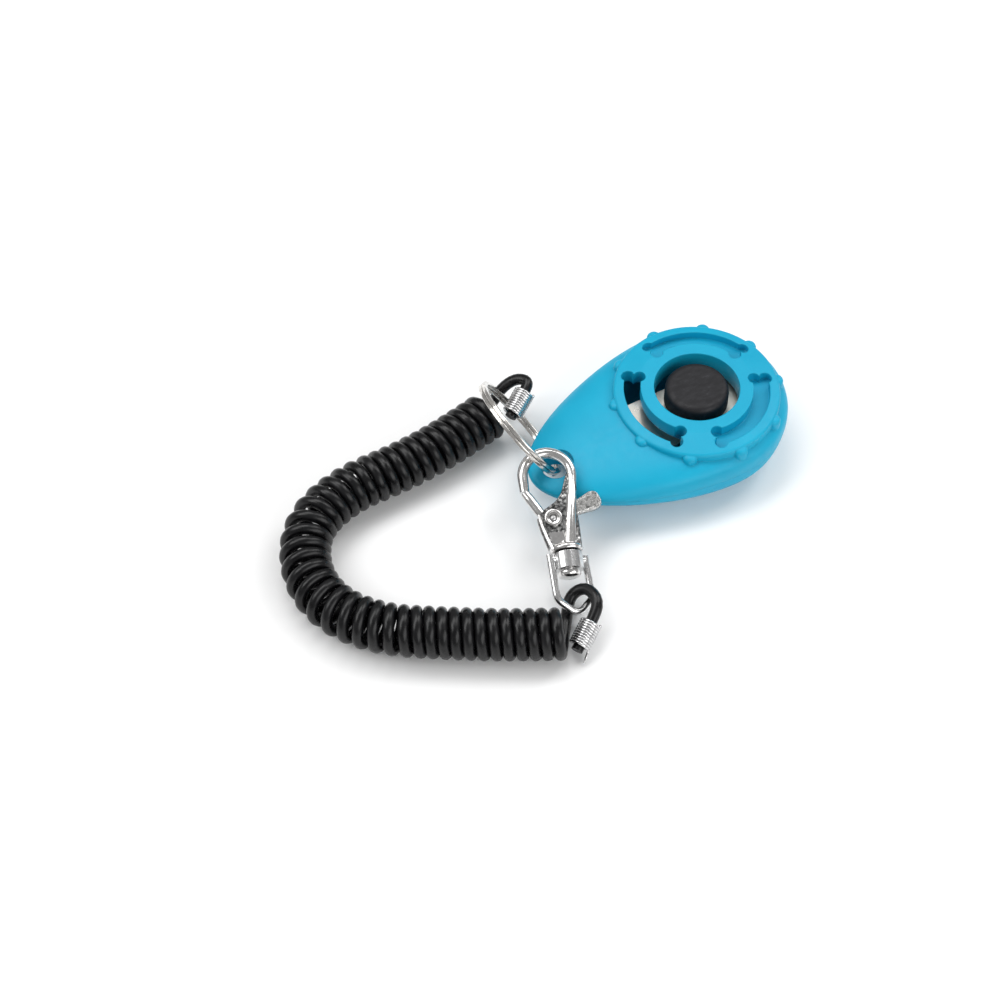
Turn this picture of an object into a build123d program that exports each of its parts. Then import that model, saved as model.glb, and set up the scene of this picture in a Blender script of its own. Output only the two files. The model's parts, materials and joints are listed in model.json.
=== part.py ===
from build123d import *
import os
from math import atan2, cos, degrees, pi, radians, sin, tan

os.makedirs("parts", exist_ok=True)

# Clicker trainer on a wrist strap, in millimetres. +Z is up and z = 0 is the table.
# The origin is on the button's axis, at the flat base. The lanyard tip points to -X.

# --- driving dimensions -------------------------------------------------------------
WALL = 2.0                    # shell wall at the sides
FLOOR_SHARE = 0.76            # height of the hollow against the height of the body
TIP_SHARE = 0.66              # reach of the hollow against the reach of the body
EGG_TAPER = 0.14              # narrowing of the outline towards the tip
SPLIT_Z = 9.0                 # height of the seam between the two shells
RING_TOP = 17.0               # top of the raised ring round the button
RING_EDGE = 15.9              # the ring's crowned top falls to this at its edge
RING_R = 19.0                 # outer radius of the raised ring
RING_CROWN_R = 13.4
RING_ROUND = 0.7
HOLE_R = 9.75                 # button well
COLLAR_R = 11.6               # outside of the wall round the button well
NUBS = 10
NUB_R = 1.7
NUB_TOP = 15.7
RING_FOOT = 12.0              # the ring is drawn from this height, inside the body
SLOT_MID_R = 14.7             # mean radius of the bone-shaped slots
SLOT_W = 3.8
SLOT_LOBE_R = 1.45            # the two round lobes at each end of a slot
SLOT_LOBE_STEP = 6.0          # degrees from the end of the arc to the lobes
SLOT_LOBE_SHIFT = 1.35
SLOT_HALF_ANGLE = 36.0
RECESS = 2.0                  # depth of the two blind slots
LANYARD = (-36.5, -0.3)        # lanyard hole
LANYARD_R = 3.6

BUTTON_R = 7.3
BUTTON_TOP = 17.2
BUTTON_EDGE = 1.5             # rounding of the button's top edge
BUTTON_SKIRT_Z = 12.4         # underside of the cap
DOME_R = 3.2                  # domed foot that presses the tongue

TONGUE_T = 0.5                # spring-steel tongue
TONGUE_Z = 10.0
TONGUE_HINGE_X = 15.0
TONGUE_TIP = 17.0             # the free end's distance from the button's axis
TONGUE_W = 15.0
RIVET_Y = 4.5
CLAMP_GAP = 0.3               # room for the tongue above and below in its clamp
CLAMP_T = 1.0
CLAMP_L = 15.0
STUD_R = 0.8
DIMPLE_X = -8.2
DIMPLE_R = 6.2

PEGS = [(12.0, 12.6), (12.0, -12.6), (-15.5, 10.6), (-15.5, -10.6)]
PEG_R = 0.9                   # pegs that join the two shells
PEG_L = 2.8
POST_R = 2.0
POST_TOP = 13.4
COLLAR_FOOT = 11.6            # underside of the wall round the button well
COLLAR_TOP = 15.5

RING_MEAN_R = 12.7            # split ring, two turns of flat wire
RING_WIRE = (1.3, 0.92)       # radial and axial size of one turn
RING_CENTRE = Vector(-39.3, 11.8, 12.7)
RING_NORMAL = Vector(0.858, -0.008, 0.513)

CORD_D = 2.65                 # strap cord
COIL_D = 11.7                 # outer diameter of its coil
CRIMP_R = 2.5                 # wire-wound crimp, outside
CRIMP_BORE_R = 1.88
CRIMP_L = 6.6

CLASP_ORIGIN = Vector(-46.3, -22.3, 7.6)     # middle of the swivel collar
CLASP_AXIS = Vector(0.347, 0.889, 0.295)     # from the collar to the hook
CLASP_ACROSS = Vector(0.931, -0.364, 0.0)
STEM_R = 1.5
STEM_CLEARANCE = 0.06
BAIL_ROLL = 25.0              # the bail is turned this far about the clasp's axis
BAIL_WIRE_R = 0.85
PIVOT = (-2.0, 10.0)          # gate pivot, across and along the clasp
PIN_R = 0.9
BOSS_R = 1.95
HUB_R = 2.15
HOOK_MIDDLE = (-1.85, 20.5)
HOOK_R = 5.48                 # middle of the hook's wire
HOOK_WIRE_R = 1.18
HOOK_NOSE = 16.2              # where the free end of the hook stops, along the clasp
NOSE_SWEEP_R = 8.95           # its end face is an arc round the gate's pivot
NOSE_GAP = 0.15
FLANGE = (2.2, 3.5)           # low and high ends of the clasp's turned parts
FLANGE_R = 3.75
HEAD = (-3.5, -2.1)
HEAD_R = 2.5
STEM = (-2.6, 2.6)
COLLAR = (-1.8, 1.9)
SWIVEL_R = 3.4
HOUSING_HALF = 2.3            # half the thickness of the clasp
BAIL_ROUTE = [(-4.4, 1.6), (-4.1, -8.6), (0.9, -12.0), (4.9, -8.0), (4.4, 1.6)]
BAIL_BEND_R = 2.6
SLOT_HALF = 1.0               # half the width of the slot that the gate turns in
GATE_HALF = 0.82

# Routes of the strap cord, as points of the line that its middle follows.
COIL_ROUTE = [
    (-40.8, 23.5), (-53.0, 20.9), (-66.0, 19.8), (-79.5, 20.2), (-91.5, 15.6), (-97.6, 4.6),
    (-97.0, -7.0), (-89.6, -17.2), (-78.0, -24.6), (-66.5, -31.6), (-56.0, -37.0),
]
COIL_LIFT = COIL_D / 2 + 0.1
UPPER_LOOP = [
    (-38.1, 18.4, 8.9), (-32.3, 21.9, 10.8), (-30.2, 24.0, 11.4), (-32.2, 26.6, 10.6),
    (-35.6, 27.4, 8.0), (-38.2, 26.6, 5.2), (-40.7, 26.4, 3.2),
]
LOWER_LOOP = [
    (-54.6, -40.4, 2.3), (-48.5, -36.5, 4.5), (-45.0, -33.8, 6.3), (-45.1, -28.5, 5.6),
    (-48.6, -27.3, 3.2), (-51.4, -30.8, 1.8), (-53.6, -34.9, 1.6),
]

# Egg-shaped level curves of the body: height, half width, reach of the tip, reach of the round end.
LEVELS = [
    (0.0, 14.6, 21.0, 12.4),
    (0.6, 16.3, 24.2, 14.0),
    (1.6, 17.9, 27.8, 15.6),
    (3.0, 19.1, 31.6, 17.2),
    (4.6, 20.1, 35.6, 18.7),
    (6.3, 20.8, 39.6, 19.9),
    (8.0, 21.0, 42.4, 20.7),
    (9.6, 21.1, 42.6, 21.1),
    (11.0, 21.1, 39.6, 21.1),
    (12.2, 20.8, 35.4, 20.8),
    (13.1, 20.0, 31.2, 20.0),
    (13.8, 18.8, 27.4, 18.8),
    (14.3, 17.2, 23.9, 17.2),
    (14.7, 15.4, 20.6, 15.4),
    (15.0, 13.4, 17.4, 13.4),
]


def egg(height, half_width, tip, round_end, count=32):
    """One level curve of the body, round at +X and drawn out to a tip at -X."""
    points = []
    for i in range(count):
        t = 2 * pi * i / count
        x, y = cos(t), sin(t)
        if x >= 0:
            points.append((round_end * x, half_width * y, height))
        else:
            points.append((tip * x, half_width * y * (1 - EGG_TAPER * x * x), height))
    return Face(Wire([Spline(*points, periodic=True)]))


def body_solid():
    return loft([egg(*level) for level in LEVELS])


def polar(radius, angle):
    return radius * cos(radians(angle)), radius * sin(radians(angle))


def bone_slot(middle, bottom, top):
    """An arc slot with two round lobes at each end, like a curved bone."""
    first = middle - SLOT_HALF_ANGLE
    last = middle + SLOT_HALF_ANGLE
    outline = SlotArc(CenterArc((0, 0), SLOT_MID_R, first, last - first), SLOT_W)
    for angle in (first - SLOT_LOBE_STEP, last + SLOT_LOBE_STEP):
        for side in (-SLOT_LOBE_SHIFT, SLOT_LOBE_SHIFT):
            outline += Pos(*polar(SLOT_MID_R + side, angle)) * Circle(SLOT_LOBE_R)
    return extrude(Pos(0, 0, bottom) * outline, top - bottom)


def raised_ring():
    """The crowned ring round the button, with its ten nubs, as one solid."""
    outline = Polyline(
        (0, RING_FOOT), (RING_R, RING_FOOT), (RING_R, RING_EDGE),
        (RING_CROWN_R, RING_TOP), (0, RING_TOP), (0, RING_FOOT),
    )
    ring = revolve(Plane.XZ * make_face(outline), Axis.Z)
    ring = fillet(ring.edges().filter_by(GeomType.CIRCLE).group_by(Axis.Z)[1], RING_ROUND)
    for k in range(NUBS):
        nub = Cylinder(NUB_R, NUB_TOP - RING_FOOT, align=(Align.CENTER, Align.CENTER, Align.MIN))
        nub = fillet(nub.edges().group_by(Axis.Z)[-1], 1.0)
        ring += Pos(*polar(RING_R - 0.4, 18 + 360 / NUBS * k), RING_FOOT) * nub
    return ring


def shell_outside():
    return body_solid() + raised_ring()


def cavity():
    """Hollow between the shells: the same egg, thinner all round and shorter at the tip."""
    faces = []
    for height, half_width, tip, round_end in LEVELS:
        z = SPLIT_Z + (height - SPLIT_Z) * FLOOR_SHARE
        faces.append(egg(z, half_width - WALL, tip * TIP_SHARE, round_end - WALL))
    return loft(faces)


def lanyard_cut():
    """The hole through the tip, opened out below where the split ring leaves it."""
    x, y = LANYARD
    hole = Pos(x, y, 8.0) * Cylinder(LANYARD_R, 20.0)
    hole += Pos(x + 1.4, y + 1.7, 4.8) * Cone(LANYARD_R + 2.2, LANYARD_R - 0.8, 4.0)
    return hole


def upper_shell(outside, hollow):
    above = Pos(0, 0, SPLIT_Z + 10) * Box(120, 60, 20)
    shell = (outside - hollow) & above
    shell += Pos(0, 0, (COLLAR_FOOT + COLLAR_TOP) / 2) * Cylinder(COLLAR_R, COLLAR_TOP - COLLAR_FOOT)
    for x, y in PEGS:
        shell += Pos(x, y, (SPLIT_Z + POST_TOP) / 2) * Cylinder(POST_R, POST_TOP - SPLIT_Z)
    shell -= Pos(0, 0, 14.0) * Cylinder(HOLE_R, 12.0)
    shell -= bone_slot(180, SPLIT_Z, 20.0)
    for middle in (60, -60):
        shell -= bone_slot(middle, RING_EDGE + 0.5 - RECESS, 20.0)
    for x, y in PEGS:
        shell -= Pos(x, y, SPLIT_Z + 1.6) * Cylinder(PEG_R + 0.05, PEG_L + 0.4)
    return shell - lanyard_cut()


def lower_shell(outside, hollow):
    below = Pos(0, 0, SPLIT_Z - 10) * Box(120, 60, 20)
    shell = (outside - hollow) & below
    post_top = TONGUE_Z - TONGUE_T / 2 - CLAMP_GAP
    anvil = Pos(TONGUE_HINGE_X, 0, post_top / 2) * Box(4.4, CLAMP_L, post_top)
    for x, y in PEGS:
        anvil += Pos(x, y, SPLIT_Z / 2) * Cylinder(POST_R, SPLIT_Z)
    shell += anvil & outside
    for x, y in PEGS:
        shell += Pos(x, y, SPLIT_Z + PEG_L / 2) * Cylinder(PEG_R, PEG_L)
    return shell - lanyard_cut()


def tongue():
    """Spring-steel plate that snaps when the button bends it, with a pressed dimple."""
    length = TONGUE_HINGE_X + 1.9 + TONGUE_TIP
    plate = Box(length, TONGUE_W, TONGUE_T)
    plate = fillet(plate.edges().filter_by(Axis.Z), 2.2)
    plate = Pos((TONGUE_HINGE_X + 1.9 - TONGUE_TIP) / 2, 0, TONGUE_Z) * plate
    plate -= Pos(0, 0, TONGUE_Z) * Cylinder(1.4, 2)
    for side in (-1, 1):
        plate -= Pos(TONGUE_HINGE_X, side * RIVET_Y, TONGUE_Z) * Cylinder(1.15, 2)
    deep = TONGUE_Z - DIMPLE_R + 0.45
    ridge = Pos(DIMPLE_X, 0, deep) * (Sphere(DIMPLE_R) - Sphere(DIMPLE_R - 0.45))
    above = Pos(DIMPLE_X, 0, TONGUE_Z + 1.0) * Box(8, 8, 2.0)
    return plate + (ridge & above)


def tongue_clamp():
    """Bar that holds the tongue's fixed end, with two heat-staked studs through it."""
    low = TONGUE_Z + TONGUE_T / 2 + CLAMP_GAP
    bar = Pos(TONGUE_HINGE_X, 0, low + CLAMP_T / 2) * Box(4.0, CLAMP_L, CLAMP_T)
    bar = fillet(bar.edges().filter_by(Axis.Z), 0.8)
    for side in (-1, 1):
        bar -= Pos(TONGUE_HINGE_X, side * RIVET_Y, low) * Cylinder(STUD_R + 0.02, 4)
    return bar


def tongue_rivets():
    """The two studs, with the heads that melting them leaves."""
    post_top = TONGUE_Z - TONGUE_T / 2 - CLAMP_GAP
    bar_top = TONGUE_Z + TONGUE_T / 2 + CLAMP_GAP + CLAMP_T
    studs = []
    for side in (-1, 1):
        shank = Cylinder(STUD_R, bar_top - post_top, align=(Align.CENTER, Align.CENTER, Align.MIN))
        stud = Pos(TONGUE_HINGE_X, side * RIVET_Y, post_top) * shank
        head = Cylinder(1.4, 0.5, align=(Align.CENTER, Align.CENTER, Align.MIN))
        stud += Pos(TONGUE_HINGE_X, side * RIVET_Y, bar_top) * head
        studs.append(stud)
    return Compound(children=studs)


def button():
    """Push button: a rounded cap with a domed foot and a headed peg through the tongue."""
    middle = (BUTTON_SKIRT_Z + BUTTON_TOP) / 2
    cap = Pos(0, 0, middle) * Cylinder(BUTTON_R, BUTTON_TOP - BUTTON_SKIRT_Z)
    cap = fillet(cap.edges().group_by(Axis.Z)[-1], BUTTON_EDGE)
    foot_z = TONGUE_Z + TONGUE_T / 2 + 0.05
    dome = Pos(0, 0, foot_z + DOME_R) * Sphere(DOME_R)
    dome &= Pos(0, 0, foot_z + DOME_R / 2) * Box(8, 8, DOME_R)
    peg = Pos(0, 0, TONGUE_Z - 0.2) * Cylinder(0.8, 2.4)
    head = Pos(0, 0, TONGUE_Z - 1.3) * Cylinder(1.9, 0.6)
    return cap + dome + peg + head


def split_ring():
    radial, axial = RING_WIRE
    profile = RectangleRounded(radial, 2 * axial, 0.28)
    for side in (-1, 1):
        groove = Pos(side * radial / 2, 0) * Rot(0, 0, 45) * Rectangle(0.26, 0.26)
        profile -= groove
    ring = revolve(Plane.XZ * Pos(RING_MEAN_R, 0) * profile, Axis.Z)
    return Plane(origin=RING_CENTRE, z_dir=RING_NORMAL).location * ring


def route_radii(points, share=0.45):
    """Arc radius at each inner point of a route, as large as its two runs allow."""
    radii = []
    for before, here, after in zip(points, points[1:], points[2:]):
        a, b = here - before, after - here
        half_turn = radians(a.get_angle(b)) / 2
        radii.append(share * min(a.length, b.length) / tan(half_turn))
    return radii


def tube(name, points, radius):
    """Round tube along straight runs joined by tangent arcs."""
    points = [Vector(*p) for p in points]
    radii = route_radii(points)
    path = FilletPolyline(*points, radius=radii)
    section = Plane(origin=path @ 0, z_dir=path % 0) * Circle(radius)
    solid = sweep(section, path)
    expected = pi * radius**2 * path.length
    print(name, "length", round(path.length, 1), "volume ratio", round(solid.volume / expected, 4),
          "radii", [round(r, 1) for r in radii])
    return solid


def crimp_axis(loop):
    """Middle and direction of the crimp on a loop's first run."""
    a, b = Vector(*loop[0]), Vector(*loop[1])
    direction = (b - a).normalized()
    middle = b - direction * (CRIMP_L / 2 - 0.2)
    return Plane(origin=middle, z_dir=direction).location


def crimp(loop):
    """Close-wound steel wire sleeve, as a plain sleeve."""
    sleeve = Cylinder(CRIMP_R, CRIMP_L)
    sleeve = fillet(sleeve.edges().filter_by(GeomType.CIRCLE), 0.28)
    return crimp_axis(loop) * (sleeve - Cylinder(CRIMP_BORE_R, CRIMP_L + 1))


def cord_loop(name, loop):
    """Cord from its cut end, through the crimp and round the loop to the coil."""
    doubled = crimp_axis(loop) * Cylinder(CRIMP_BORE_R - 0.02, CRIMP_L - 0.4)
    return tube(name, loop, CORD_D / 2) + doubled


def coil():
    return tube("coil", [(x, y, COIL_LIFT) for x, y in COIL_ROUTE], COIL_D / 2)


# --- clasp, drawn across = X, along = Y, thickness = Z, from the middle of the collar ---
def capsule(start, stop, radius):
    """Flat bar with round ends between two points."""
    a = Vector(*start)
    b = Vector(*stop)
    run = b - a
    turn = degrees(atan2(run.Y, run.X))
    middle = (a + b) / 2
    bar = Pos(middle.X, middle.Y) * Rot(0, 0, turn) * Rectangle(run.length, 2 * radius)
    return bar + Pos(a.X, a.Y) * Circle(radius) + Pos(b.X, b.Y) * Circle(radius)


def slab(face, half):
    return extrude(Pos(0, 0, -half) * face, 2 * half)


def turned(radius, low, high):
    """Cylinder along the clasp's axis."""
    return Pos(0, (low + high) / 2, 0) * Rot(90, 0, 0) * Cylinder(radius, high - low)


def clasp_body():
    cx, cy = HOOK_MIDDLE
    left, right = cx - HOOK_R, cx + HOOK_R
    path = Polyline((left, HOOK_NOSE), (left, cy)) + ThreePointArc(
        (left, cy), (cx, cy + HOOK_R), (right, cy)
    ) + Polyline((right, cy), (right - 0.1, 16.6))
    section = Plane(origin=(left, HOOK_NOSE, 0), z_dir=(0, 1, 0)) * Circle(HOOK_WIRE_R)
    hook = sweep(section, path)
    hook -= (Pos(*PIVOT, 0) * Cylinder(NOSE_SWEEP_R, 8)) & (Pos(-14, 15, 0) * Box(20, 20, 8))
    outline = make_face(Polyline(
        (-3.3, 2.6), (3.4, 2.6), (3.7, 8.5), (4.6, 14.0), (4.75, 18.0), (2.6, 18.0),
        (1.6, 15.0), (-0.8, 13.0), (-4.3, 12.5), (-5.7, 10.8), (-3.3, 2.6),
    ))
    housing = slab(outline, HOUSING_HALF)
    side = Plane.YZ * make_face(Polyline(
        (2.0, -HOUSING_HALF), (11.8, -HOUSING_HALF), (18.4, -1.0),
        (18.4, 1.0), (11.8, HOUSING_HALF), (2.0, HOUSING_HALF), (2.0, -HOUSING_HALF),
    ))
    housing &= extrude(Pos(-10, 0, 0) * side, 20)
    housing += Pos(*PIVOT, 0) * Cylinder(BOSS_R, 5.2)
    slot = slab(Pos(0, 10.2) * Rectangle(20, 11.0), SLOT_HALF)
    stem = turned(FLANGE_R, *FLANGE) + turned(STEM_R, *STEM)
    head = fillet(turned(HEAD_R, *HEAD).edges().filter_by(GeomType.CIRCLE), 0.5)
    body = (housing - slot) + hook + stem + head
    return body - Pos(*PIVOT, 0) * Cylinder(PIN_R, 8)


def gate_pin():
    return Pos(*PIVOT, 0) * Cylinder(PIN_R, 5.0)


def gate_spring():
    """Torsion spring round the pin, beside the gate's hub, as a plain sleeve."""
    return Pos(*PIVOT, 0.6) * (Cylinder(1.7, 0.56) - Cylinder(PIN_R + 0.12, 1))


def clasp_gate():
    bar = slab(capsule((-7.9, 17.3), (-3.4, 9.9), 0.9), GATE_HALF)
    bar &= Pos(*PIVOT, 0) * Cylinder(NOSE_SWEEP_R - NOSE_GAP, 8)
    tab = slab(capsule((2.9, 11.9), (7.0, 13.5), 2.15), GATE_HALF)
    arm = slab(make_face(Polyline(
        (-2.6, 8.1), (3.6, 9.9), (3.6, 13.6), (-1.4, 12.0), (-2.6, 8.1))), GATE_HALF)
    hub = slab(Pos(*PIVOT) * Circle(HUB_R), GATE_HALF)
    gate = bar + hub + arm + tab
    gate -= Pos(*PIVOT, 0.8) * Cylinder(1.85, 1.0)
    return gate - Pos(*PIVOT, 0) * Cylinder(PIN_R + 0.06, 6)


def swivel_bail():
    """Wire bail under the clasp, with the collar that the clasp's stem turns in."""
    points = [Vector(x, y, 0) for x, y in BAIL_ROUTE]
    path = FilletPolyline(*points, radius=BAIL_BEND_R)
    section = Plane(origin=path @ 0, z_dir=path % 0) * Circle(BAIL_WIRE_R)
    bail = sweep(section, path)
    bail += turned(SWIVEL_R, *COLLAR)
    for side in (-1, 1):
        bail += Pos(side * 3.5, 0.6, 0) * Rot(0, 90, 0) * Cylinder(BAIL_WIRE_R, 1.8)
    bail -= turned(STEM_R + STEM_CLEARANCE, -3, 3)
    return Rot(0, BAIL_ROLL, 0) * bail


def in_clasp(piece):
    normal = CLASP_ACROSS.cross(CLASP_AXIS)
    return Plane(origin=CLASP_ORIGIN, x_dir=CLASP_ACROSS, z_dir=normal).location * piece


def main():
    outside, hollow = shell_outside(), cavity()
    parts = {
        "upper_shell": upper_shell(outside, hollow),
        "lower_shell": lower_shell(outside, hollow),
        "click_tongue": tongue(),
        "tongue_clamp": tongue_clamp(),
        "tongue_rivets": tongue_rivets(),
        "button": button(),
        "split_ring": split_ring(),
        "coil_cord": coil(),
        "cord_loop_upper": cord_loop("upper loop", UPPER_LOOP),
        "cord_loop_lower": cord_loop("lower loop", LOWER_LOOP),
        "crimp_upper": crimp(UPPER_LOOP),
        "crimp_lower": crimp(LOWER_LOOP),
        "swivel_bail": in_clasp(swivel_bail()),
        "clasp_body": in_clasp(clasp_body()),
        "clasp_gate": in_clasp(clasp_gate()),
        "gate_pin": in_clasp(gate_pin()),
        "gate_spring": in_clasp(gate_spring()),
    }
    for name, piece in parts.items():
        export_step(piece, f"parts/{name}.step")


if __name__ == "__main__":
    main()
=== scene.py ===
import json
from math import cos, pi, radians, sin, tau

import bpy
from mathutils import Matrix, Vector


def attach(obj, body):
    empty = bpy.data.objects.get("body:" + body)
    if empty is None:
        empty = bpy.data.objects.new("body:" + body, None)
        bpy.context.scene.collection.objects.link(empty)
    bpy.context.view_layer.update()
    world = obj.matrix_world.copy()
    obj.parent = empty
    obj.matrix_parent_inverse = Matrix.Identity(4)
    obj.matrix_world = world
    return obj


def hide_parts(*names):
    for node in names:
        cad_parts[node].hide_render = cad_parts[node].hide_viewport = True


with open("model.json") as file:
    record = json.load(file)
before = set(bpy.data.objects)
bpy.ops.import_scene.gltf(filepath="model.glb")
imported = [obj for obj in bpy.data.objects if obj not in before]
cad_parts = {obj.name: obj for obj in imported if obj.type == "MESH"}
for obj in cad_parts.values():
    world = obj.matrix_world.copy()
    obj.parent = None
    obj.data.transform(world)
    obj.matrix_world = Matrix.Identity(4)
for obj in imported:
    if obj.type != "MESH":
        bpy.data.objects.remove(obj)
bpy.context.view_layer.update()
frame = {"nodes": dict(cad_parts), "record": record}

MM = 0.001

# --- sizes and places, in millimetres in the row frame ---
CORD_R = 1.325
COIL_R = 4.525                # from the coil's middle line to the cord's
COIL_LIFT = 5.95
TURN_GAP = 2.68               # spacing of the turns where they touch
TURN_POINTS = 20              # spline points in each turn
BEND_REACH = 12               # line points on each side that a bend is measured over
SHORTEST_RUN = 0.1
COIL_ROUTE = [
    (-40.8, 23.5), (-53.0, 20.9), (-66.0, 19.8), (-79.5, 20.2), (-91.5, 15.6), (-97.6, 4.6),
    (-97.0, -7.0), (-89.6, -17.2), (-78.0, -24.6), (-66.5, -31.6), (-56.0, -37.0),
]
UPPER_LOOP = [
    (-38.1, 18.4, 8.9), (-32.3, 21.9, 10.8), (-30.2, 24.0, 11.4), (-32.2, 26.6, 10.6),
    (-35.6, 27.4, 8.0), (-38.2, 26.6, 5.2), (-40.7, 26.4, 3.2),
]
LOWER_LOOP = [
    (-54.6, -40.4, 2.3), (-48.5, -36.5, 4.5), (-45.0, -33.8, 6.3), (-45.1, -28.5, 5.6),
    (-48.6, -27.3, 3.2), (-51.4, -30.8, 1.8), (-53.6, -34.9, 1.6),
]
COIL_START_TURN = radians(224.4)     # where on the coil's circle each loop meets it
COIL_END_TURN = radians(304.2)

CRIMP_LENGTH = 6.6
CRIMP_OVERLAP = 0.2           # how far the crimp reaches past the loop's second point
CRIMP_TURNS = 10
CRIMP_TURN_POINTS = 28
CRIMP_WIRE_R = 0.31
CRIMP_WIND_R = 2.19
TAIL_POINTS = 4
TAIL_STEP = 0.35
TAIL_DROP = 0.16

RING_CENTRE = Vector((-39.3, 11.8, 12.7))
RING_NORMAL = Vector((0.858, -0.008, 0.513)).normalized()
RING_R = 12.7
RING_WIRE = (1.3, 0.86)       # radial and axial size of the flat wire
RING_STEP = 0.46              # each turn lies this far from the ring's middle plane
RING_CORNER = 0.2
RING_END_ANGLE = radians(150)
RING_JOG = radians(26)        # the stretch in which the two turns change places
RING_SHORT_OF = radians(8)    # the gap that is left at the wire's ends
RING_STEPS = 360

# The clasp is drawn across, along its swivel axis and through its thickness, from the swivel.
HOOK_MIDDLE = (-1.85, 20.5)
HOOK_R = 5.48
HOOK_WIRE_R = 1.18
NOSE_SHARE = 0.93             # the wire starts this thin at the nose
NOSE_GROWTH = 0.07            # and grows by this over its first steps
NOSE_GROWTH_STEPS = 5
PIVOT = (-2.0, 10.0)
NOSE_SWEEP_R = 8.95           # the nose ends on this arc about the pivot
NOSE_POINTS = 6
BOW_STEPS = 40
HOOK_FOOT = [(3.6, 19.6), (3.5, 18.8), (3.3, 17.6), (3.1, 16.6)]
# Rows up one cheek of the clasp's housing: along, left edge, right edge, inner and outer face.
CHEEK_ROWS = [
    (2.6, -3.3, 3.3, 0.0, 2.1), (3.6, -3.6, 3.4, 0.0, 2.1), (4.7, -3.95, 3.45, 1.0, 1.85),
    (6.0, -4.3, 3.5, 1.0, 1.7), (8.0, -4.8, 3.55, 1.0, 1.65), (10.0, -5.2, 3.5, 1.0, 1.65),
    (11.1, -5.25, 3.4, 1.0, 1.65),
    (11.8, -4.1, 3.45, 1.0, 1.65), (12.6, -2.8, 3.5, 1.0, 1.65), (13.4, -1.45, 3.6, 1.0, 1.6),
    (14.4, -0.4, 3.75, 1.0, 1.5), (15.6, 0.45, 3.95, 1.0, 1.35), (16.2, 0.75, 4.05, 0.0, 1.25),
    (17.4, 1.2, 4.2, 0.0, 1.1), (18.8, 1.7, 4.35, 0.0, 0.95), (20.2, 2.3, 4.5, 0.0, 0.7),
]
# Rows up the ridge of its spine: along, middle, half width, inner and outer face.
SPINE_ROWS = [
    (3.3, 0.9, 1.6, 0.0, 2.3), (4.6, 1.1, 1.5, 0.9, 2.32), (8.0, 1.6, 1.35, 1.0, 2.32),
    (11.0, 2.05, 1.28, 1.0, 2.25), (13.5, 2.45, 1.22, 1.0, 2.0), (15.6, 2.8, 1.2, 0.9, 1.65),
    (17.2, 3.1, 1.18, 0.1, 1.38), (18.8, 3.4, 1.17, 0.0, 1.22), (20.5, 3.63, 1.14, 0.0, 1.15),
]
SPINE_STEPS = 12
SPINE_FULLNESS = 0.8          # 1 is an arch, less is fuller at its sides
CHEEK_EDGE = 0.22
# Beads along the cheek's left edge: inset, depth under its face, radius.
RIM_BEAD = (0.25, 0.1, 0.36)
FORK_BEAD = (0.2, 0.12, 0.27)
FORK_FROM = 7                 # the cheek's rows from here on are its forked upper part
SHARP_ANGLE = radians(38)
SLOT_HALF = 1.0               # half the width of the slot that the gate turns in
# Rows up the flat panel on the cheek: along, left edge, right edge, outer face.
PANEL_ROWS = [
    (3.7, -2.9, -0.3, 1.9), (4.0, -3.0, -0.3, 2.12), (6.6, -3.5, -0.2, 2.05), (6.9, -3.5, -0.2, 1.6),
]
PANEL_EDGE = (0.3, 0.25)      # its cut corners, across and down
# Turned parts: radius and height. A point on the axis keeps a tiny radius.
AXIS_R = 0.001
FLANGE_PROFILE = [
    (0.0, 3.9), (2.9, 3.9), (3.55, 3.5), (3.75, 3.15), (3.78, 2.85), (3.6, 2.45), (3.1, 2.22),
    (1.5, 2.2), (1.5, -2.1), (2.2, -2.12), (2.5, -2.35), (2.52, -2.9), (2.3, -3.25), (1.7, -3.46),
    (0.0, -3.5),
]
PIN_PROFILE = [
    (0.0, 2.2), (0.35, 2.17), (0.6, 2.0), (0.68, 1.75), (0.68, -1.75), (0.6, -2.0), (0.35, -2.17),
    (0.0, -2.2),
]
BOSS_PROFILE = [
    (1.0, 1.0), (1.95, 1.0), (1.97, 2.2), (1.86, 2.46), (1.62, 2.55), (1.36, 2.48), (1.22, 2.25),
    (1.1, 1.95), (0.92, 1.9), (0.9, 1.0),
]

# The gate, in the clasp's own plane.
BAR_FOOT = (-3.6, 10.3)
BAR_STEPS = 12
BAR_TIP_GAP = 0.12            # the bar stops this short of the nose's arc
BAR_R = 0.8                   # at its foot
BAR_SWELL = 0.3               # what it gains over its first steps
BAR_SWELL_STEPS = 4
BAR_TAPER = 0.12              # what it loses over its last steps
BAR_TAPER_STEPS = 3
BAR_FLATNESS = 0.84
TAB_START = (1.6, 11.6)
TAB_END = (7.0, 13.5)
TAB_R = 2.1
TAB_SQUARENESS = 2.8          # 2 is round, more is squarer
TAB_STEPS = 24
TAB_NECK = (1.25, 1.05)       # the neck's two half widths
# Inset and height of each line round the thumb tab, up one face, across its rim and down the other.
TAB_RIM = [
    (0.0, -0.65), (0.12, -0.8), (0.42, -0.8), (0.62, -0.55), (0.62, 0.55), (0.42, 0.8), (0.12, 0.8),
    (0.0, 0.65),
]
TAB_FACE = 3                  # the step between the two sunk faces
ARM_HALF = 0.7
# Rows along the arm: across, lower and upper edge.
ARM_ROWS = [(-3.9, 8.9, 10.9), (-2.0, 8.0, 12.1), (0.0, 8.7, 12.4), (1.9, 9.6, 12.9), (3.4, 10.2, 13.6)]

CAMERA_AT = Vector((-204.9, -277.8, 439.6))
CAMERA_TO = Vector((-48.4, 4.7, 0.0))
LENS = 86.4

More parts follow.
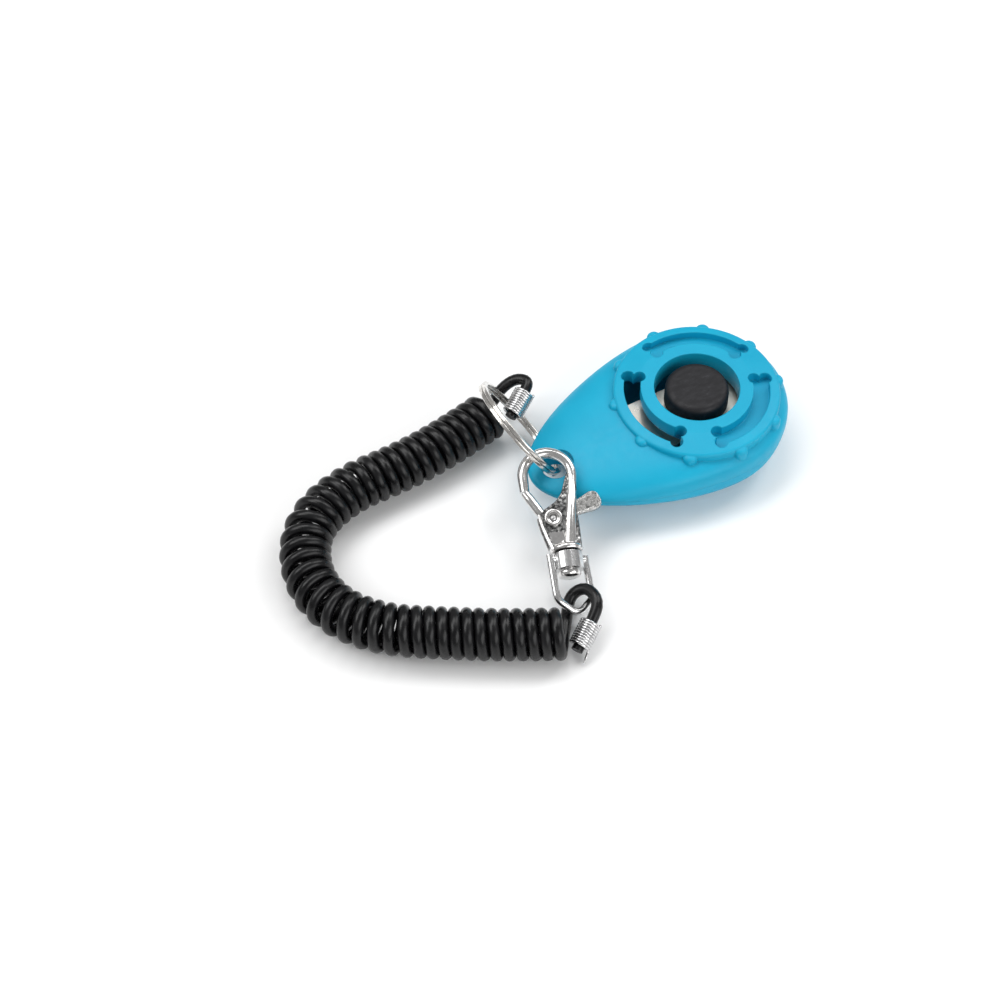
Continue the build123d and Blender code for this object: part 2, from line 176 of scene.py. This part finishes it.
# --- the studio, in metres ---
FLOOR_HALF = 3
FLOOR_Z = -0.0002
WORLD_LIGHT = 0.34
LIGHTS_AIM = Vector((-0.045, 0, 0))
SOFTBOXES = [                 # name, place, size, power
    ("softbox_left", (-0.55, 0.25, 0.6), (0.45, 0.45), 2.3),
    ("softbox_right", (0.5, 0.1, 0.6), (0.3, 0.6), 2.0),
    ("softbox_top", (-0.05, 0.35, 0.8), (0.6, 0.35), 2.9),
    ("softbox_front", (0.1, -0.55, 0.35), (0.7, 0.4), 2.2),
]


# --- materials ---
def shader(name, colour, roughness, metallic=0.0):
    """A new material, its node tree and its Principled shader."""
    mat = bpy.data.materials.new(name)
    mat.use_nodes = True
    bsdf = mat.node_tree.nodes["Principled BSDF"]
    bsdf.inputs["Base Color"].default_value = (*colour, 1)
    bsdf.inputs["Roughness"].default_value = roughness
    bsdf.inputs["Metallic"].default_value = metallic
    return mat, mat.node_tree, bsdf


def noise(tree, scale, detail=4.0, rough=0.6, stretch=(1, 1, 1)):
    """Noise in object space. A scale of 1000 makes features about a millimetre wide."""
    coords = tree.nodes.new("ShaderNodeTexCoord")
    mapping = tree.nodes.new("ShaderNodeMapping")
    mapping.inputs["Scale"].default_value = stretch
    tex = tree.nodes.new("ShaderNodeTexNoise")
    tex.inputs["Scale"].default_value = scale
    tex.inputs["Detail"].default_value = detail
    tex.inputs["Roughness"].default_value = rough
    tree.links.new(coords.outputs["Object"], mapping.inputs["Vector"])
    tree.links.new(mapping.outputs["Vector"], tex.inputs["Vector"])
    return tex.outputs["Fac"]


def ramp(tree, source, stops):
    """Maps a value to colours; stops are (position, colour)."""
    node = tree.nodes.new("ShaderNodeValToRGB")
    elements = node.color_ramp.elements
    for element, (position, colour) in zip((elements[0], elements[1]), (stops[0], stops[-1])):
        element.position = position
        element.color = (*colour, 1)
    for position, colour in stops[1:-1]:
        elements.new(position).color = (*colour, 1)
    tree.links.new(source, node.inputs["Fac"])
    return node.outputs["Color"]


def grey(value):
    return (value, value, value)


def add_bump(tree, bsdf, source, strength, distance, edge=None):
    """Bump from a height, over edges rounded by the given radius in millimetres."""
    bump = tree.nodes.new("ShaderNodeBump")
    bump.inputs["Strength"].default_value = strength
    bump.inputs["Distance"].default_value = distance
    tree.links.new(source, bump.inputs["Height"])
    if edge:
        bevel = tree.nodes.new("ShaderNodeBevel")
        bevel.samples = 6
        bevel.inputs["Radius"].default_value = edge * MM
        tree.links.new(bevel.outputs["Normal"], bump.inputs["Normal"])
    tree.links.new(bump.outputs["Normal"], bsdf.inputs["Normal"])


def moulded_plastic(name, dark, light, roughness, edge):
    """Satin plastic with faint flow marks, and edges rounded by the given radius."""
    mat, tree, bsdf = shader(name, light, roughness)
    flow = noise(tree, 90, 3, 0.5)
    tree.links.new(ramp(tree, flow, [(0.3, dark), (0.7, light)]), bsdf.inputs["Base Color"])
    handled = [(0.35, grey(roughness - 0.05)), (0.7, grey(roughness + 0.08))]
    tree.links.new(ramp(tree, noise(tree, 700, 5, 0.6), handled), bsdf.inputs["Roughness"])
    bsdf.inputs["Subsurface Weight"].default_value = 0.12
    bsdf.inputs["Subsurface Radius"].default_value = (0.4, 1.0, 1.0)
    bsdf.inputs["Subsurface Scale"].default_value = 0.0012
    bsdf.inputs["IOR"].default_value = 1.49
    bsdf.inputs["Specular IOR Level"].default_value = 0.3
    add_bump(tree, bsdf, noise(tree, 2600, 3, 0.5), 0.18, 0.00003, edge)
    return mat


def worn_black(name):
    """Matt black that thumbs have scuffed a little."""
    mat, tree, bsdf = shader(name, grey(0.02), 0.55)
    bsdf.inputs["Specular IOR Level"].default_value = 0.35
    scuffs = noise(tree, 420, 6, 0.72, (1.0, 2.2, 1.0))
    blacks = [(0.42, (0.004, 0.004, 0.006)), (0.62, (0.009, 0.009, 0.012)), (0.8, (0.04, 0.04, 0.046))]
    tree.links.new(ramp(tree, scuffs, blacks), bsdf.inputs["Base Color"])
    tree.links.new(ramp(tree, scuffs, [(0.3, grey(0.62)), (0.75, grey(0.42))]), bsdf.inputs["Roughness"])
    add_bump(tree, bsdf, noise(tree, 3200, 3, 0.5), 0.25, 0.00003, 0.3)
    return mat


def glossy_cord(name):
    """Glossy black plastic with faint streaks."""
    mat, tree, bsdf = shader(name, grey(0.01), 0.25)
    bsdf.inputs["Specular IOR Level"].default_value = 0.32
    streaks = noise(tree, 380, 5, 0.65)
    blacks = [(0.35, (0.0015, 0.0015, 0.002)), (0.75, (0.007, 0.007, 0.008))]
    tree.links.new(ramp(tree, streaks, blacks), bsdf.inputs["Base Color"])
    tree.links.new(ramp(tree, streaks, [(0.3, grey(0.22)), (0.75, grey(0.38))]), bsdf.inputs["Roughness"])
    add_bump(tree, bsdf, noise(tree, 900, 4, 0.6), 0.25, 0.00006)
    return mat


def metal(name, light, dark, roughness, grain, bump, edge=None, pits=0.0):
    """Plated metal. pits is the share of the surface that has dark cast pits; on the housing's cheeks the
    pits and the dim base colour are partly real pitting and partly painted shade.
    """
    mat, tree, bsdf = shader(name, light, roughness, 1.0)
    cloud = noise(tree, grain, 5, 0.65)
    stops = [(0.3, dark), (0.62, light)]
    if pits:
        shift = pits * 0.3
        stops = [(0.30 + shift, [0.25 * c for c in dark]), (0.42 + shift, dark), (0.62, light)]
    tree.links.new(ramp(tree, cloud, stops), bsdf.inputs["Base Color"])
    dulled = [(0.3, grey(roughness + 0.18)), (0.65, grey(roughness))]
    tree.links.new(ramp(tree, cloud, dulled), bsdf.inputs["Roughness"])
    add_bump(tree, bsdf, cloud, bump, 0.00006, edge)
    return mat


FINISH = {
    "shell_plastic": moulded_plastic("cyan_abs", (0.002, 0.335, 0.525), (0.003, 0.37, 0.565), 0.44, 0.4),
    "inner_plastic": moulded_plastic("cyan_abs_inside", (0.013, 0.31, 0.45), (0.017, 0.36, 0.51), 0.45, 0.15),
    "button_rubber": worn_black("button_black"),
    "spring_steel": metal("tongue_steel", (0.70, 0.66, 0.59), (0.58, 0.54, 0.48), 0.26, 140, 0.04),
    "ring_nickel": metal("ring_nickel", (0.82, 0.8, 0.77), (0.5, 0.48, 0.45), 0.12, 600, 0.1),
    "cord": glossy_cord("cord_black"),
    "crimp_wire": metal("crimp_wire", (0.78, 0.78, 0.78), (0.45, 0.45, 0.46), 0.14, 800, 0.1),
    "bail_steel": metal("bail_nickel", (0.8, 0.8, 0.8), (0.5, 0.5, 0.5), 0.13, 700, 0.15, 0.12),
    # clasp_cast is a darker copy of the plating for the housing's cheeks and fork beads: its dim base colours
    # and near-black pits are partly real pitted casting and partly painted shade of the housing's recess.
    "clasp_cast": metal("clasp_cast", (0.5, 0.5, 0.49), (0.13, 0.13, 0.13), 0.24, 1500, 0.6, 0.2, 0.3),
    "gate_cast": metal("gate_cast", (0.84, 0.83, 0.81), (0.42, 0.42, 0.41), 0.2, 1900, 0.6, 0.2, 0.15),
    "clasp_bright": metal("clasp_bright", (0.84, 0.83, 0.82), (0.62, 0.61, 0.6), 0.09, 500, 0.12),
    "gate_bright": metal("gate_bright", (0.82, 0.81, 0.8), (0.6, 0.6, 0.59), 0.1, 500, 0.12),
    "pin_steel": metal("pin_steel", (0.6, 0.6, 0.6), (0.3, 0.3, 0.3), 0.25, 1500, 0.4, 0.15),
    "spring_wire": metal("spring_wire", (0.6, 0.6, 0.6), (0.3, 0.3, 0.3), 0.25, 1500, 0.3),
}


# --- mesh helpers ---
def link(obj):
    bpy.context.scene.collection.objects.link(obj)
    return obj


def new_mesh(name, verts, faces, finish):
    """A smooth-shaded piece from points in millimetres."""
    mesh = bpy.data.meshes.new(name)
    mesh.from_pydata([Vector(v) * MM for v in verts], [], faces)
    mesh.polygons.foreach_set("use_smooth", [True] * len(mesh.polygons))
    mesh.materials.append(FINISH[finish])
    mesh.update()
    return link(bpy.data.objects.new(name, mesh))


def skin(rings):
    """Faces that join equal rings of vertices one after the other, with closed ends."""
    count = len(rings[0])
    verts = [v for ring in rings for v in ring]
    faces = []
    for i in range(len(rings) - 1):
        for j in range(count):
            a, b = i * count + j, i * count + (j + 1) % count
            faces.append((a, b, b + count, a + count))
    faces.append(tuple(range(count))[::-1])
    faces.append(tuple(range(len(verts) - count, len(verts))))
    return verts, faces


def directions(path):
    """The direction of travel at each point of a path."""
    last = len(path) - 1
    return [(path[min(i + 1, last)] - path[max(i - 1, 0)]).normalized() for i in range(len(path))]


def wire(name, path, radius, finish, sides=12):
    """Round wire along a path of close points, its section carried along without twist."""
    tangents = directions(path)
    across = tangents[0].orthogonal().normalized()
    rings = []
    for here, tangent, before in zip(path, tangents, [tangents[0]] + tangents):
        across = before.rotation_difference(tangent) @ across
        across = (across - tangent * across.dot(tangent)).normalized()
        up = tangent.cross(across)
        angles = [tau * k / sides for k in range(sides)]
        rings.append([here + (across * cos(a) + up * sin(a)) * radius for a in angles])
    return new_mesh(name, *skin(rings), finish)


# --- camera, floor and lights ---
def add_camera():
    """The camera, where the object is seen at its usual three-quarter angle."""
    data = bpy.data.cameras.new("camera")
    data.lens = LENS
    data.clip_start, data.clip_end = 0.01, 10
    camera = link(bpy.data.objects.new("camera", data))
    camera.location = CAMERA_AT * MM
    camera.rotation_euler = (CAMERA_TO - CAMERA_AT).to_track_quat("-Z", "Y").to_euler()
    bpy.context.scene.camera = camera


def area_light(name, at, size, power):
    """A softbox that faces the middle of the object."""
    data = bpy.data.lights.new(name, "AREA")
    data.shape, data.size, data.size_y = "RECTANGLE", size[0], size[1]
    data.energy = power
    lamp = link(bpy.data.objects.new(name, data))
    lamp.location = at
    lamp.rotation_euler = (LIGHTS_AIM - lamp.location).to_track_quat("-Z", "Y").to_euler()


def add_stage():
    """Pale paper floor, even surrounding light and four softboxes."""
    mesh = bpy.data.meshes.new("floor")
    corners = [(x * FLOOR_HALF, y * FLOOR_HALF, 0) for x, y in ((-1, -1), (1, -1), (1, 1), (-1, 1))]
    mesh.from_pydata(corners, [], [(0, 1, 2, 3)])
    floor = link(bpy.data.objects.new("floor", mesh))
    floor.location.z = FLOOR_Z
    mat, tree, bsdf = shader("paper", grey(0.93), 0.8)
    whites = [(0.3, grey(0.925)), (0.7, grey(0.935))]
    tree.links.new(ramp(tree, noise(tree, 6, 2), whites), bsdf.inputs["Base Color"])
    bsdf.inputs["Specular IOR Level"].default_value = 0.1
    mesh.materials.append(mat)
    world = bpy.data.worlds.new("studio")
    world.use_nodes = True
    sky = world.node_tree.nodes["Background"]
    sky.inputs["Color"].default_value = (1, 1, 1, 1)
    sky.inputs["Strength"].default_value = WORLD_LIGHT
    bpy.context.scene.world = world
    bpy.context.scene.view_settings.view_transform = "Standard"
    for softbox in SOFTBOXES:
        area_light(*softbox)


# --- the cord ---
def coil_line():
    """Close points of the coil's middle line, with the turns still straightened out."""
    curve = bpy.data.curves.new("coil_line", "CURVE")
    curve.dimensions = "3D"
    curve.resolution_u = 60
    spline = curve.splines.new("NURBS")
    spline.points.add(len(COIL_ROUTE) - 1)
    for point, (x, y) in zip(spline.points, COIL_ROUTE):
        point.co = (x, y, COIL_LIFT, 1)
    spline.order_u = 3
    spline.use_endpoint_u = True
    carrier = link(bpy.data.objects.new("coil_line", curve))
    mesh = bpy.data.meshes.new_from_object(carrier)
    line = [v.co.copy() for v in mesh.vertices]
    bpy.data.objects.remove(carrier)
    return line


def coil_points():
    """The cord's middle line in the coil: its turns touch on the inside of each bend."""
    line = coil_line()
    tangents = directions(line)
    steps = [(b - a).length for a, b in zip(line, line[1:])]
    rates = []
    for i in range(len(steps)):
        low, high = max(i - BEND_REACH, 0), min(i + BEND_REACH, len(steps) - 1)
        bend = tangents[low].angle(tangents[high]) / max(sum(steps[low:high]), SHORTEST_RUN)
        rates.append((1 - COIL_R * bend) / TURN_GAP)
    turns = sum(rate * step for rate, step in zip(rates, steps))
    wanted = (COIL_END_TURN - COIL_START_TURN) / tau
    scale = (wanted + round(turns - wanted)) / turns
    points = []
    turn, due = 0.0, 0.0
    for here, tangent, rate, step in zip(line, tangents, rates, steps):
        while turn >= due:
            angle = COIL_START_TURN + due * tau
            side = Vector((0, 0, 1)).cross(tangent).normalized()
            points.append(here + side * (COIL_R * cos(angle)) + Vector((0, 0, COIL_R * sin(angle))))
            due += 1 / TURN_POINTS
        turn += rate * step * scale
    return points


def add_cord():
    """One cord: the ring's loop, the coil and the clasp's loop, in a single smooth spline."""
    points = [Vector(p) for p in UPPER_LOOP[:-1]] + coil_points()
    points += [Vector(p) for p in LOWER_LOOP[-2::-1]]
    curve = bpy.data.curves.new("strap_cord", "CURVE")
    curve.dimensions = "3D"
    curve.resolution_u = 4
    curve.bevel_depth = CORD_R * MM
    curve.bevel_resolution = 5
    curve.use_fill_caps = True
    spline = curve.splines.new("NURBS")
    spline.points.add(len(points) - 1)
    for point, place in zip(spline.points, points):
        point.co = (*(place * MM), 1)
    spline.order_u = 3
    spline.use_endpoint_u = True
    curve.materials.append(FINISH["cord"])
    cord = link(bpy.data.objects.new("strap_cord", curve))
    length = sum((b - a).length for a, b in zip(points, points[1:])) * MM
    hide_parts("coil_cord", "cord_loop_upper", "cord_loop_lower")
    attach(cord, "strap")
    return cord, points, length


def add_crimp(name, loop, node, tail):
    """Close-wound steel wire round the cord, with its last end left standing out a little."""
    a, b = Vector(loop[0]), Vector(loop[1])
    axis = (b - a).normalized()
    foot = b - axis * (CRIMP_LENGTH - CRIMP_OVERLAP)
    side = axis.cross(Vector((0, 0, 1))).normalized()
    up = side.cross(axis)
    path = []
    steps = CRIMP_TURNS * CRIMP_TURN_POINTS
    run = CRIMP_LENGTH - 2 * CRIMP_WIRE_R
    for i in range(steps + 1):
        angle = tau * CRIMP_TURNS * i / steps
        path.append(
            foot + axis * (CRIMP_WIRE_R + run * i / steps)
            + side * (CRIMP_WIND_R * cos(angle)) + up * (CRIMP_WIND_R * sin(angle))
        )
    if tail:
        first = path[0]
        away = (path[0] - path[1]).normalized()
        backwards = range(TAIL_POINTS, 0, -1)
        path = [first + away * TAIL_STEP * k - axis * TAIL_DROP * k * k for k in backwards] + path
    crimp = wire(name, path, CRIMP_WIRE_R, "crimp_wire", 10)
    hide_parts(node)
    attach(crimp, "strap")
    return crimp


# --- the split ring ---
def flat_section(width, height, corner, count=4):
    """Points of a rounded rectangle round (0, 0)."""
    points = []
    for k, (sx, sy) in enumerate([(1, 1), (-1, 1), (-1, -1), (1, -1)]):
        cx, cy = sx * (width / 2 - corner), sy * (height / 2 - corner)
        for j in range(count + 1):
            angle = (k + j / count) * pi / 2
            points.append((cx + corner * cos(angle), cy + corner * sin(angle)))
    return points


def smooth(value):
    """Eases from 0 to 1."""
    value = min(max(value, 0.0), 1.0)
    return value * value * (3 - 2 * value)


def add_ring():
    """Two turns of flat wire that change places where the ends are."""
    side = RING_NORMAL.orthogonal().normalized()
    lift = RING_NORMAL.cross(side)
    section = flat_section(*RING_WIRE, RING_CORNER)
    rings = []
    for i in range(RING_STEPS + 1):
        angle = (2 * tau - RING_SHORT_OF) * i / RING_STEPS
        level = RING_STEP * (2 * smooth((angle - tau + RING_JOG / 2) / RING_JOG) - 1)
        turn = angle + RING_END_ANGLE
        out = side * cos(turn) + lift * sin(turn)
        lines = [RING_CENTRE + out * (RING_R + u) + RING_NORMAL * (level + v) for u, v in section]
        rings.append(lines)
    ring = new_mesh("split_ring_wire", *skin(rings), "ring_nickel")
    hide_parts("split_ring")
    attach(ring, "ring")


# --- the clasp ---
def joint(name):
    """The record's joint of this name."""
    return next(j for j in frame["record"]["behaviour"]["joints"] if j["name"] == name)


CLASP_ORIGIN = Vector(joint("clasp_swivel")["pos_m"]) / MM
CLASP_AXIS = Vector(joint("clasp_swivel")["axis"]).normalized()
CLASP_NORMAL = -Vector(joint("gate_open")["axis"]).normalized()
CLASP_ACROSS = CLASP_AXIS.cross(CLASP_NORMAL)


def clasp_point(across, along, thick=0.0):
    """A point given in the clasp's own directions."""
    return CLASP_ORIGIN + CLASP_ACROSS * across + CLASP_AXIS * along + CLASP_NORMAL * thick


def clasp_piece(obj, node, body="clasp"):
    """Hides the node that a piece of the clasp stands for, hangs the piece on its body, and keeps its edges
    crisp.
    """
    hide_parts(node)
    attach(obj, body)
    obj.data.set_sharp_from_angle(angle=SHARP_ANGLE)


def varied_wire(name, path, radii, finish, flat=1.0, sides=20):
    """Wire in the clasp's own plane whose radius changes along it; flat scales its thickness."""
    rings = []
    neighbours = zip(path, [path[0]] + path, path[1:] + [path[-1]], radii)
    for (across, along), before, after, radius in neighbours:
        run = Vector((after[0] - before[0], after[1] - before[1])).normalized()
        ring = []
        for k in range(sides):
            out, up = radius * cos(tau * k / sides), radius * flat * sin(tau * k / sides)
            ring.append(clasp_point(across + run.y * out, along - run.x * out, up))
        rings.append(ring)
    return new_mesh(name, *skin(rings), finish)


def add_hook():
    """The bow, from its nose round into the spine."""
    cx, cy = HOOK_MIDDLE
    px, py = PIVOT
    path = []
    reach = (NOSE_SWEEP_R**2 - (cx - HOOK_R - px) ** 2) ** 0.5 + py
    for k in range(NOSE_POINTS):
        path.append((cx - HOOK_R, reach + (cy - reach) * k / NOSE_POINTS))
    for k in range(BOW_STEPS + 1):
        angle = pi - pi * k / BOW_STEPS
        path.append((cx + HOOK_R * cos(angle), cy + HOOK_R * sin(angle)))
    path += HOOK_FOOT
    radii = []
    for k in range(len(path)):
        radii.append(HOOK_WIRE_R * (NOSE_SHARE + NOSE_GROWTH * smooth(k / NOSE_GROWTH_STEPS)))
    clasp_piece(varied_wire("clasp_hook", path, radii, "clasp_bright"), "clasp_body")


def chamfered(left, right, low, high, across, down):
    """Outline of a bar on one face of the clasp, its two outer corners cut off."""
    return [
        (left, low), (left, high - down), (left + across, high), (right - across, high),
        (right, high - down), (right, low),
    ]


def domed(middle, half, low, high):
    """Outline of a rounded ridge on one face of the clasp."""
    outline = [(middle - half, low)]
    for k in range(SPINE_STEPS + 1):
        angle = pi - pi * k / SPINE_STEPS
        outline.append((middle + half * cos(angle), low + (high - low) * sin(angle) ** SPINE_FULLNESS))
    outline.append((middle + half, low))
    return outline


def face_piece(name, rows, side, finish):
    """A solid on one face of the clasp, from (along, outline) rows."""
    rings = [[clasp_point(t, along, side * k) for t, k in outline[::side]] for along, outline in rows]
    clasp_piece(new_mesh(f"{name}_{side + 1}", *skin(rings), finish), "clasp_body")


def edge_bead(name, rows, side, inset, sunk, radius, finish):
    """A round bead along the cheek's left edge."""
    path = [clasp_point(left + inset, along, side * (high - sunk)) for along, left, _, _, high in rows]
    clasp_piece(wire(f"{name}_{side + 1}", path, radius, finish), "clasp_body")


def add_cheeks():
    """The housing's two faces, each with its spine, edge beads and flat panel."""
    cheek = [(row[0], chamfered(*row[1:], CHEEK_EDGE, CHEEK_EDGE)) for row in CHEEK_ROWS]
    spine = [(row[0], domed(*row[1:])) for row in SPINE_ROWS]
    panel = []
    for along, left, right, high in PANEL_ROWS:
        panel.append((along, chamfered(left, right, SLOT_HALF, high, *PANEL_EDGE)))
    for side in (-1, 1):
        # the cheeks and the fork beads take clasp_cast, whose darkness is partly painted shade of the
        # housing's recess
        face_piece("clasp_cheek", cheek, side, "clasp_cast")
        face_piece("clasp_spine", spine, side, "clasp_bright")
        edge_bead("clasp_rim", CHEEK_ROWS[:FORK_FROM], side, *RIM_BEAD, "clasp_bright")
        edge_bead("clasp_fork", CHEEK_ROWS[FORK_FROM:], side, *FORK_BEAD, "clasp_cast")
        face_piece("clasp_panel", panel, side, "clasp_bright")


def turned(name, profile, middle, axis, finish, sides=48):
    """Surface of revolution of (radius, height) points about an axis through a point."""
    out = axis.orthogonal().normalized()
    up = axis.cross(out)
    verts, faces = [], []
    for radius, height in profile:
        for k in range(sides):
            angle = tau * k / sides
            verts.append(middle + axis * height + (out * cos(angle) + up * sin(angle)) * max(radius, AXIS_R))
    for i in range(len(profile) - 1):
        for k in range(sides):
            a, b = i * sides + k, i * sides + (k + 1) % sides
            faces.append((a, a + sides, b + sides, b))
    return new_mesh(name, verts, faces, finish)


def add_stem_and_bosses():
    """The turned stem, the gate's pin and the round boss at each of its ends."""
    middle = clasp_point(*PIVOT)
    stem = turned("clasp_stem", FLANGE_PROFILE, CLASP_ORIGIN, CLASP_AXIS, "clasp_bright")
    clasp_piece(stem, "clasp_body")
    pin = turned("clasp_pin", PIN_PROFILE, middle, CLASP_NORMAL, "pin_steel")
    clasp_piece(pin, "gate_pin")
    for side in (-1, 1):
        boss = turned(f"clasp_boss_{side + 1}", BOSS_PROFILE, middle, CLASP_NORMAL * side, "clasp_bright")
        clasp_piece(boss, "clasp_body")


def add_bar():
    """The gate's bar, from its foot to the hook's nose."""
    px, py = PIVOT
    foot = Vector(BAR_FOOT)
    nose = HOOK_MIDDLE[0] - HOOK_R
    top = Vector((nose, py + ((NOSE_SWEEP_R - BAR_TIP_GAP) ** 2 - (nose - px) ** 2) ** 0.5))
    path = [tuple(foot + (top - foot) * k / BAR_STEPS) for k in range(BAR_STEPS + 1)]
    radii = []
    for k in range(BAR_STEPS + 1):
        gained = BAR_SWELL * smooth(k / BAR_SWELL_STEPS)
        lost = BAR_TAPER * smooth((k - BAR_STEPS + BAR_TAPER_STEPS) / BAR_TAPER_STEPS)
        radii.append(BAR_R + gained - lost)
    bar = varied_wire("gate_bar", path, radii, "gate_bright", BAR_FLATNESS)
    clasp_piece(bar, "clasp_gate", "gate")


def tab_outline():
    """The thumb tab's outline: a squarish round end on a narrowing neck."""
    start, stop = Vector(TAB_START), Vector(TAB_END)
    run = (stop - start).normalized()
    out = Vector((-run.y, run.x))
    outline = []
    for k in range(TAB_STEPS + 1):
        angle = pi / 2 - pi * k / TAB_STEPS
        squared = abs(cos(angle)) ** TAB_SQUARENESS + abs(sin(angle)) ** TAB_SQUARENESS
        swell = TAB_R * squared ** (-1 / TAB_SQUARENESS)
        outline.append(stop + run * (swell * cos(angle)) + out * (swell * sin(angle)))
    return outline + [start - out * TAB_NECK[0], start + out * TAB_NECK[1]]


def add_tab():
    """The thumb tab, with a raised rim round each of its sunk faces."""
    outline = tab_outline()
    centre = sum(outline, Vector((0, 0))) / len(outline)
    verts = []
    for inset, thick in TAB_RIM:
        for p in outline:
            q = p + (centre - p).normalized() * inset
            verts.append(clasp_point(q.x, q.y, thick))
    count = len(outline)
    faces = []
    for i in range(len(TAB_RIM)):
        if i == TAB_FACE:
            faces.append(tuple(i * count + k for k in range(count)))
            faces.append(tuple((i + 1) * count + k for k in range(count))[::-1])
            continue
        j = (i + 1) % len(TAB_RIM)
        for k in range(count):
            n = (k + 1) % count
            faces.append((i * count + k, i * count + n, j * count + n, j * count + k))
    tab = new_mesh("gate_tab", verts, faces, "gate_cast")
    clasp_piece(tab, "clasp_gate", "gate")


def add_arm():
    """The arm in the housing's slot, which joins the bar to the thumb tab."""
    rows = []
    for t, low, high in ARM_ROWS:
        corners = [(low, -ARM_HALF), (high, -ARM_HALF), (high, ARM_HALF), (low, ARM_HALF)]
        rows.append([clasp_point(t, along, thick) for along, thick in corners])
    arm = new_mesh("gate_arm", *skin(rows), "gate_cast")
    clasp_piece(arm, "clasp_gate", "gate")


def finish_cad_nodes():
    """Gives each CAD node its finish."""
    for entry in frame["record"]["subparts"]:
        obj = frame["nodes"][entry["node"]]
        for slot in obj.material_slots:
            slot.material = FINISH[entry["material_slot"]]


add_camera()
cord, cord_points, cord_length = add_cord()
crimps = [
    add_crimp("crimp_wire_upper", UPPER_LOOP, "crimp_upper", False),
    add_crimp("crimp_wire_lower", LOWER_LOOP, "crimp_lower", True),
]
finish_cad_nodes()
add_ring()
add_hook()
add_cheeks()
add_stem_and_bosses()
add_bar()
add_tab()
add_arm()
add_stage()
